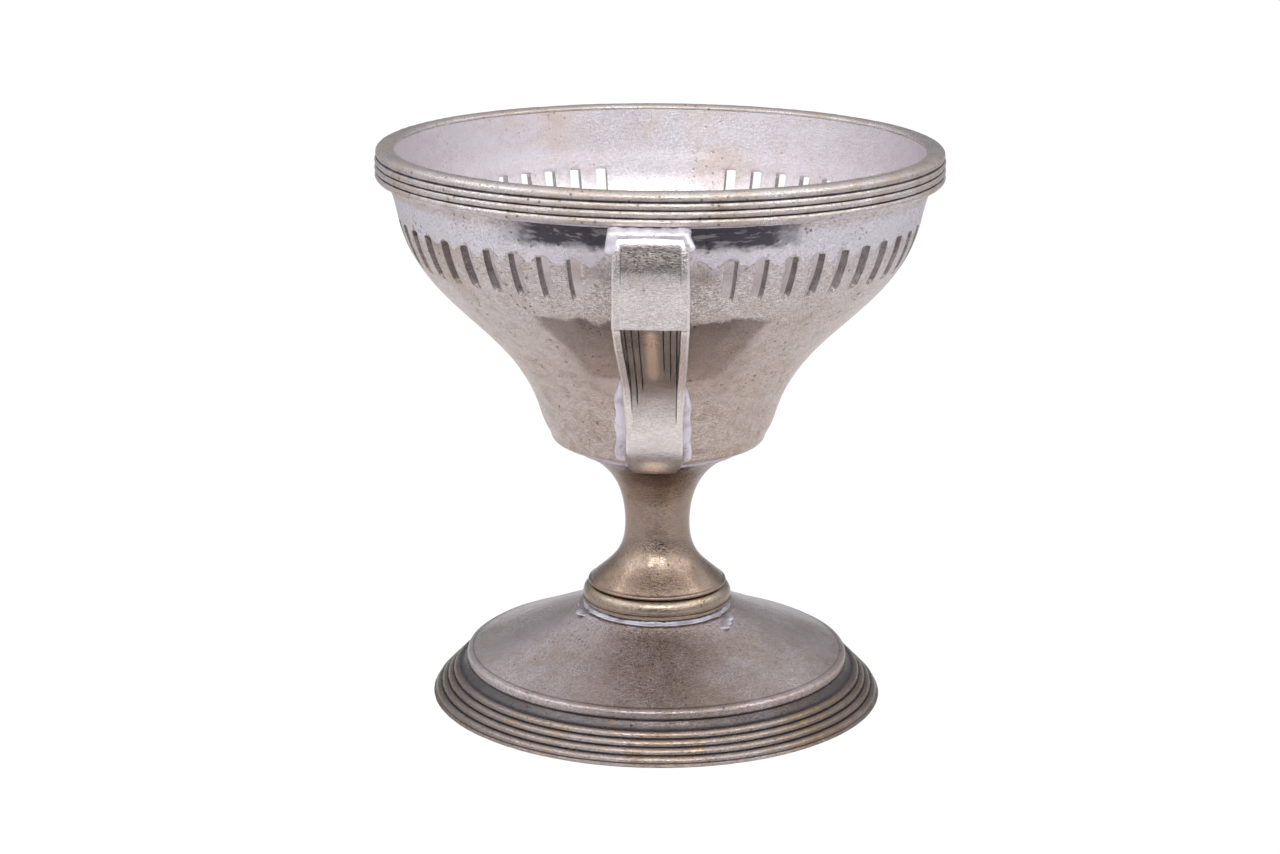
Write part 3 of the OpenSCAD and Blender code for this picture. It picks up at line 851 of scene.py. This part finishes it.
def handle(name, node, finish, turn):
    """A cast strap: a crowned upper panel between raised edges, a step, and an engraved trough."""
    rows = strap_rows()
    steps = len(rows) - 1
    bm, hollow = new_bmesh()
    painted_shade = bm.verts.layers.float.new("painted_shade")
    glint_and_brass = bm.verts.layers.float.new("glint_and_brass")
    bmesh.ops.create_grid(bm, x_segments=128, y_segments=steps, size=0.5)
    behind = []
    for v in bm.verts:
        front, out, back = rows[round((v.co.y + 0.5) * steps)]
        half = strap_half(front.y)
        across = 2 * v.co.x * half
        rise, v[hollow] = strap_height(across, half, front.y)
        # Painted shade, reflections and highlights on the strap, point by point
        v[painted_shade], v[glint_and_brass] = strap_tints(across, half, front.y)
        place = front + out * rise
        behind.append(Vector((across, -back.x, back.y)) * MM)
        v.co = Vector((across, -place.x, place.y)) * MM
    grown = bmesh.ops.extrude_face_region(bm, geom=list(bm.faces), use_keep_orig=True)
    fresh = [g for g in grown["geom"] if isinstance(g, bmesh.types.BMVert)]
    bm.verts.index_update()
    for v, place in zip(sorted(fresh, key=lambda g: g.index), behind):
        v.co = place
        v[hollow] = 0
    bmesh.ops.remove_doubles(bm, verts=bm.verts, dist=0.002 * MM)
    bmesh.ops.recalc_face_normals(bm, faces=bm.faces)
    bmesh.ops.rotate(bm, verts=bm.verts, cent=CENTRE, matrix=Matrix.Rotation(turn, 3, "Z"))
    worn(bm, 0.02, 2.5)
    return make_piece(bm, name, finish, "silver_plate", node, sharp=40)


# ---------------------------------------------------------------- stem, ring and foot


STEM_TOP_Z = BASE_Z - GAP
FLARE_R = 11.7
STEM_WAIST = (5.6, BASE_Z - 14)


def stem():
    """A turned stem with a bead at its foot and a trumpet at its head, and a spigot at each end."""
    bead_z = ring_low.z + 4.2
    bead = curve((FLARE_R - 0.1, bead_z), (FLARE_R, bead_z + 0.7), (6, 0.1), (5.5, 0.9))
    flare = curve(bead[3], STEM_WAIST, (0.43, 0.26), (1, 0.39))
    trumpet = curve(STEM_WAIST, (stem_high.x, STEM_TOP_Z - 0.5), (0, 0.51), (0.36, 0.83))
    outline = [Vector((0, stem_low.z)), Vector((SPIGOT_R, stem_low.z)), Vector((SPIGOT_R, bead_z))]
    outline += run(bead, 10) + run(flare, 40, 0, 1) + run(trumpet, 40, 0, 1)
    outline += [
        Vector((stem_high.x, STEM_TOP_Z)), Vector((SPIGOT_R, STEM_TOP_Z)),
        Vector((SPIGOT_R, stem_high.z)), Vector((0, stem_high.z)),
    ]
    bm = lathe(outline, 160, closed=False)
    worn(bm, 0.05, 6)
    finish = worn_plate(
        "stem_plate", clean=(0.37, 0.29, 0.24), warm=(0.27, 0.185, 0.13), warmth=0.8, brass=0.3,
        stain=0.6, shine=0.075, pits=0.5, scratches=0.4,
    )
    return make_piece(bm, "turned_stem", finish, "worn_plate", "stem")


def stem_ring():
    """A rounded ring with a thin lip, on a seat a little narrower than itself."""
    hole = SPIGOT_R + GAP
    lip_z = ring_low.z + 1
    r = ring_high.x
    lip = curve((r - 0.3, lip_z), (r, lip_z + 0.5), (1, 0), (1, 0.6))
    dip = curve(lip[3], (r - 0.15, lip_z + 0.72), (0.8, 0.3), (2.2, 0.6))
    rounding = curve(dip[3], (FLARE_R - 0.1, ring_high.z), (-0.29, 0.4), (0.17, 0.92))
    outline = [Vector((hole, ring_low.z)), Vector((r - 0.9, ring_low.z)), Vector((r - 0.7, lip_z))]
    outline += run(lip, 6) + run(dip, 5, 0, 1) + run(rounding, 20, 0, 1)
    outline += [Vector((hole, ring_high.z))]
    bm = lathe(outline, 200)
    worn(bm, 0.04, 3)
    finish = worn_plate(
        "ring_plate", clean=(0.42, 0.35, 0.29), warm=(0.34, 0.25, 0.165), warmth=0.8, brass=0.4,
        stain=0.5, shine=0.09, pits=0.6, scratches=0.4,
    )
    return make_piece(bm, "base_ring", finish, "worn_plate", "stem_ring")


SEAT_WIDTH = 0.65
PLATE_R = foot_high.x
SEAT_FOOT_R = ring_high.x + SEAT_WIDTH
PLATE_WALL = 1.4
EDGE_Z = foot_low.z + PLATE_WALL
PLATE_SLOPE = (foot_high.z - EDGE_Z) / (PLATE_R - SEAT_FOOT_R)
LEDGE_R = PLATE_R - 1.5


def foot_plate():
    """A spun cone with a rolled edge, hollow below, with a ledge that the border's solder fills."""
    hole = SPIGOT_R + GAP
    low = foot_low.z
    inside = foot_high.z - PLATE_WALL
    cone_end = (PLATE_R - 1, EDGE_Z + PLATE_SLOPE)
    edge = curve((PLATE_R, EDGE_Z - 0.7), cone_end, (0, 0.63), (0.3, 0.89))
    brown_r = SEAT_FOOT_R - 0.6
    outline = [Vector((hole, inside)), Vector((brown_r, inside))]
    outline += [Vector((LEDGE_R - 1.5, low + 2 * PLATE_SLOPE)), Vector((LEDGE_R - 1, low))]
    outline += [Vector((PLATE_R - 0.3, low)), Vector((PLATE_R, low + 0.3))]
    outline += run(edge, 10) + line(cone_end, (SEAT_FOOT_R, foot_high.z), 40)[1:]
    outline += [Vector((SEAT_FOOT_R, foot_high.z)), Vector((hole, foot_high.z))]
    # Painted shade on the underside of the plate's rolled edge
    bm = lathe(outline, 240, shaded_box=((PLATE_R - 0.1, low - 0.1), (PLATE_R + 0.1, low + 0.5)))
    worn(bm, 0.07, 9)
    # Painted dark reflection across the front of the plate
    tint(bm, lambda angle, r: 0.6 * hump(angle, 0.55) * ease(r, brown_r, brown_r + 4))
    finish = worn_plate(
        "foot_plate_finish", clean=(0.66, 0.59, 0.61), warm=(0.50, 0.41, 0.37), warmth=0.7, brass=0.1,
        stain=0.5, shine=0.12, scratches=0.9, pits=0.6,
    )
    return make_piece(bm, "foot_plate", finish, "silver_plate", "foot")


def foot_border():
    """A skirt of reeds with a cove above them, under the plate's edge."""
    top = border_high.z
    rest_r = FOOT_R - 0.5
    reed_top = (PLATE_R + 1.3, top - 1.2)
    cove = curve(reed_top, (PLATE_R, top), (0.54, 0.17), (0.77, 0.58))
    outline = [Vector((rest_r - 2.3, 0)), Vector((rest_r, 0)), Vector((FOOT_R, 0.3))]
    outline += reeds((FOOT_R - RELIEF, 0.6), reed_top, FOOT_REEDS, RELIEF)
    outline += run(cove, 8) + [Vector((LEDGE_R, top)), Vector((LEDGE_R, reed_top[1]))]
    # Painted shade in the cove under the plate's edge
    bm = lathe(outline, 300, shaded_box=((PLATE_R - 0.2, top - 1), (PLATE_R + 1.1, top + 0.1)))
    worn(bm, 0.04, 1.6)
    worn(bm, 0.05, 9)
    for v in bm.verts:
        v.co.z = max(v.co.z, 0)
    # Painted shade: the reeds darken towards the left and right sides
    tint(bm, lambda angle, r: 0.7 * math.sin(angle) ** 2)
    finish = worn_plate(
        "foot_reed_plate", clean=(0.42, 0.37, 0.36), warm=(0.34, 0.25, 0.185), warmth=0.8, brass=0.55,
        stain=0.55, shine=0.12, pits=0.6, scratches=0.7,
    )
    return make_piece(bm, "foot_reeding", finish, "silver_plate", "foot_border", sharp=60)


# ---------------------------------------------------------------- solder

# Each stray run round the ring: degrees from the front, reach past the ring, and half width
STRAY_RUNS = ((60, 1.3, 1.3), (54, 2.0, 1.3), (49, 2.7, 0.9), (-66, 1.0, 1.6))


def blob(bm, middle, radii, turn=0.0):
    """One soft lump, with its middle and radii in millimetres."""
    place = Matrix.Translation(Vector(middle) * MM) @ Matrix.Rotation(turn, 4, "X")
    size = Matrix.Diagonal((*(Vector(radii) * MM), 1))
    bmesh.ops.create_icosphere(bm, subdivisions=2, radius=1, matrix=place @ size)


def flow(piece, voxel=0.16, passes=6):
    """Runs a piece's lumps together into one skin, as molten solder does. Voxel is in millimetres."""
    remesh = piece.modifiers.new("run_together", "REMESH")
    remesh.mode = "VOXEL"
    remesh.voxel_size = voxel * MM
    remesh.use_smooth_shade = True
    smooth = piece.modifiers.new("soften", "SMOOTH")
    smooth.iterations = passes
    return piece


def top_solder(name, node, finish, turn):
    """Solder over a handle's top, with a large drop at one corner and a small one at the other."""
    bm, _ = new_bmesh()
    steps = 22
    for i in range(steps + 1):
        x = -0.35 + (HANDLE_HALF - 0.35) * (2 * i / steps - 1)
        swell = 0.15 * math.sin(i * 1.3)
        blob(bm, (x, -(STRAP_R - 2.3), STRAP_TOP + 0.2), (0.8, 1.3, 0.75 + swell))
        blob(bm, (x, -(SEAT_R + 0.6), STRAP_TOP + 0.35), (0.8, 1.6, 0.8 + swell))
    left, right = 0.1 - HANDLE_HALF, HANDLE_HALF - 0.75
    for x, drop, wide, lean in ((left, 2.3, 1.0, -0.02), (right, 1.7, 0.75, 0.13)):
        for i in range(6):
            z = STRAP_TOP + 0.2 - drop * i / 5
            blob(bm, (x + lean * i, -(STRAP_R - 1.65 + 0.1 * i), z), (wide - 0.1 + 0.05 * i, 0.9, 0.7))
    bmesh.ops.rotate(bm, verts=bm.verts, cent=CENTRE, matrix=Matrix.Rotation(turn, 3, "Z"))
    return flow(make_piece(bm, name, finish, "solder", node))


def side_solder(name, node, finish, turn):
    """Solder run down the bowl's wall along both sides of a handle's lower end."""
    bm, _ = new_bmesh()
    steps = 60
    for side, spread, high in ((-1, 2.3, LAND.y + 2.6), (1, 1.6, LAND.y + 0.8)):
        low = TOE_Z + 1.9
        for i in range(steps + 1):
            share = i / steps
            z = low + (high - low) * share
            reach = spread * (0.85 + 0.08 * math.sin(i * 0.33)) * (1 - 0.9 * share**5)
            x = strap_half(z) + reach / 2 - 0.2
            r = math.sqrt(max(1, wall_radius(z) ** 2 - x * x))
            thick = 0.62 - 0.2 * share
            lean = math.radians(-8 - 22 * share)
            blob(bm, (side * x, -r, z), (reach / 2 + 0.2, thick, 0.75), lean)
    bmesh.ops.rotate(bm, verts=bm.verts, cent=CENTRE, matrix=Matrix.Rotation(turn, 3, "Z"))
    return flow(make_piece(bm, name, finish, "solder", node))


def bowl_solder(finish):
    """A thin fillet between the trumpet and the flat of the bowl."""
    face = curve((stem_high.x, STEM_TOP_Z - 0.5), (FLAT_R, BASE_Z), (0.9, 0.3), (1, 0.6))
    bm = lathe(run(face, 5) + [Vector((stem_high.x, BASE_Z))], 200)
    worn(bm, 0.05, 1.2)
    return make_piece(bm, "solder_under_bowl", finish, "solder", "bowl_solder")


def foot_solder(finish):
    """An uneven fillet round the ring, with a few runs that strayed down the plate."""
    low = foot_high.z
    r = ring_high.x
    run_r = SEAT_FOOT_R + 0.95
    slope_end = (run_r, low - PLATE_SLOPE * (run_r - SEAT_FOOT_R))
    face = curve(slope_end, (r - 0.72, low + 0.9), (0.55, 0.25), (0.95, 0.35))
    outline = run(face, 8) + [Vector((r - 0.9, low)), Vector((SEAT_FOOT_R, low))]
    bm = lathe(outline, 220)
    worn(bm, 0.07, 2.6)
    for angle, reach, wide in STRAY_RUNS:
        turn = math.radians(angle)
        away = r + reach
        fall = low - PLATE_SLOPE * (away - SEAT_FOOT_R)
        blob(bm, (away * math.sin(turn), -away * math.cos(turn), fall), (1.3, wide, 0.38))
    return flow(make_piece(bm, "solder_round_ring", finish, "solder", "foot_solder"), 0.18, 4)


def foot_border_solder(finish):
    """A fillet inside the foot, where the border meets the plate's ledge."""
    low = foot_low.z
    face = curve((LEDGE_R, low - 0.7), (LEDGE_R - 0.7, low), (0.2, 0.6), (0.5, 0.85))
    bm = lathe([Vector((LEDGE_R, low))] + run(face, 5)[::-1], 200)
    worn(bm, 0.05, 2)
    return make_piece(bm, "solder_inside_foot", finish, "solder", "foot_border_solder")


# ---------------------------------------------------------------- studio surfaces


def floor():
    """A plain pale floor. Only what the metal reflects of it is darker: far away and in front."""
    material = bpy.data.materials.new("pale_floor")
    t = Tree(material)
    place = t.place()
    x, y, _ = t.axes(place)
    aside = abs(x)
    forward = -y
    away = t.node("ShaderNodeVectorMath", {"operation": "LENGTH"}, {0: place}, "Value")
    strip = forward.smooth(0.095, 0.105) * (1 - forward.smooth(0.14, 0.15)) * (1 - aside.smooth(0.08, 0.1))
    front = forward.smooth(0.29, 0.32) * (1 - aside.smooth(0.27, 0.33))
    tone = t.mix(away.smooth(0.16, 0.4), (0.68, 0.66, 0.66), (0.42, 0.41, 0.43))
    tone = t.mix((strip + front).clamp(), tone, (0.03, 0.03, 0.04))
    paint = t.node("ShaderNodeBsdfPrincipled", {}, {"Base Color": tone, "Roughness": 0.9})
    glow = t.node("ShaderNodeEmission", {}, {"Color": (1, 1, 1, 1), "Strength": 1.04})
    seen = t.seen_by_camera()
    shader = t.node("ShaderNodeMixShader", {}, {0: seen * 0.97, 1: paint, 2: glow})
    t.node("ShaderNodeOutputMaterial", {}, {"Surface": shader})
    bm = bmesh.new()
    # a hair under the foot, so that the two faces don't fight
    drop = Matrix.Translation((0, 0, -0.02 * MM))
    bmesh.ops.create_grid(bm, x_segments=2, y_segments=2, size=4, matrix=drop)
    mesh = bpy.data.meshes.new("floor")
    bm.to_mesh(mesh)
    bm.free()
    mesh.materials.append(material)
    add_object("floor", mesh)


def studio():
    """A soft, dim room with brighter sides, a dark figure in front, and three softboxes half-way up."""
    world = bpy.data.worlds.new("studio")
    bpy.context.scene.world = world
    t = Tree(world)
    x, y, z = t.axes(t.node("ShaderNodeTexCoord", {}, {}, "Generated"))
    sideways = abs(x).smooth(0.3, 0.9)
    forward = (-y).smooth(0.2, 0.7)
    figure = (-y).smooth(0.8, 0.97) * (1 - z.smooth(0.2, 0.42))
    upper = z.smooth(0.25, 0.6)
    light = 0.26 + 0.32 * sideways + (0.45 * sideways + 0.45 + 0.2 * forward) * upper
    light = light * (1 - 0.85 * figure)
    seen = t.seen_by_camera()
    strength = light * (1 - seen) + seen * 1.05
    back = t.node("ShaderNodeBackground", {}, {"Color": (0.97, 0.97, 1.0, 1), "Strength": strength})
    t.node("ShaderNodeOutputWorld", {}, {"Surface": back})
    add_softbox("front_box", 3, 45, 0.75, (0.56, 0.34), 2.6)
    add_softbox("left_fill", -75, 48, 1.2, (0.9, 0.7), 2.2)
    add_softbox("right_fill", 80, 48, 1.2, (0.9, 0.7), 2.4)
    bpy.context.scene.view_settings.view_transform = "Standard"


# ---------------------------------------------------------------- assembly


def main():
    aim_camera()
    studio()
    floor()
    solder = solder_skin("pale_solder", (0.90, 0.87, 0.96), (0.68, 0.62, 0.68), 0.55)
    seam = solder_skin("grey_solder", (0.66, 0.64, 0.72), (0.42, 0.39, 0.42), 0.85)
    bowl()
    rim_border()
    rim_solder(seam)
    strap_finish = worn_plate(
        "strap_plate", clean=(0.94, 0.89, 0.87), warm=(0.84, 0.73, 0.66), warmth=0.5, brass=0.1, pits=0.4,
        scratches=0.45,
    )
    for side, turn in (("front", 0.0), ("back", math.pi)):
        handle(f"{side}_handle", f"handle_{side}", strap_finish, turn)
        top_solder(f"{side}_handle_top_solder", f"handle_{side}_top_solder", solder, turn)
        side_solder(f"{side}_handle_side_solder", f"handle_{side}_side_solder", solder, turn)
    stem()
    stem_ring()
    bowl_solder(seam)
    foot_plate()
    foot_solder(seam)
    foot_border()
    foot_border_solder(seam)


main()
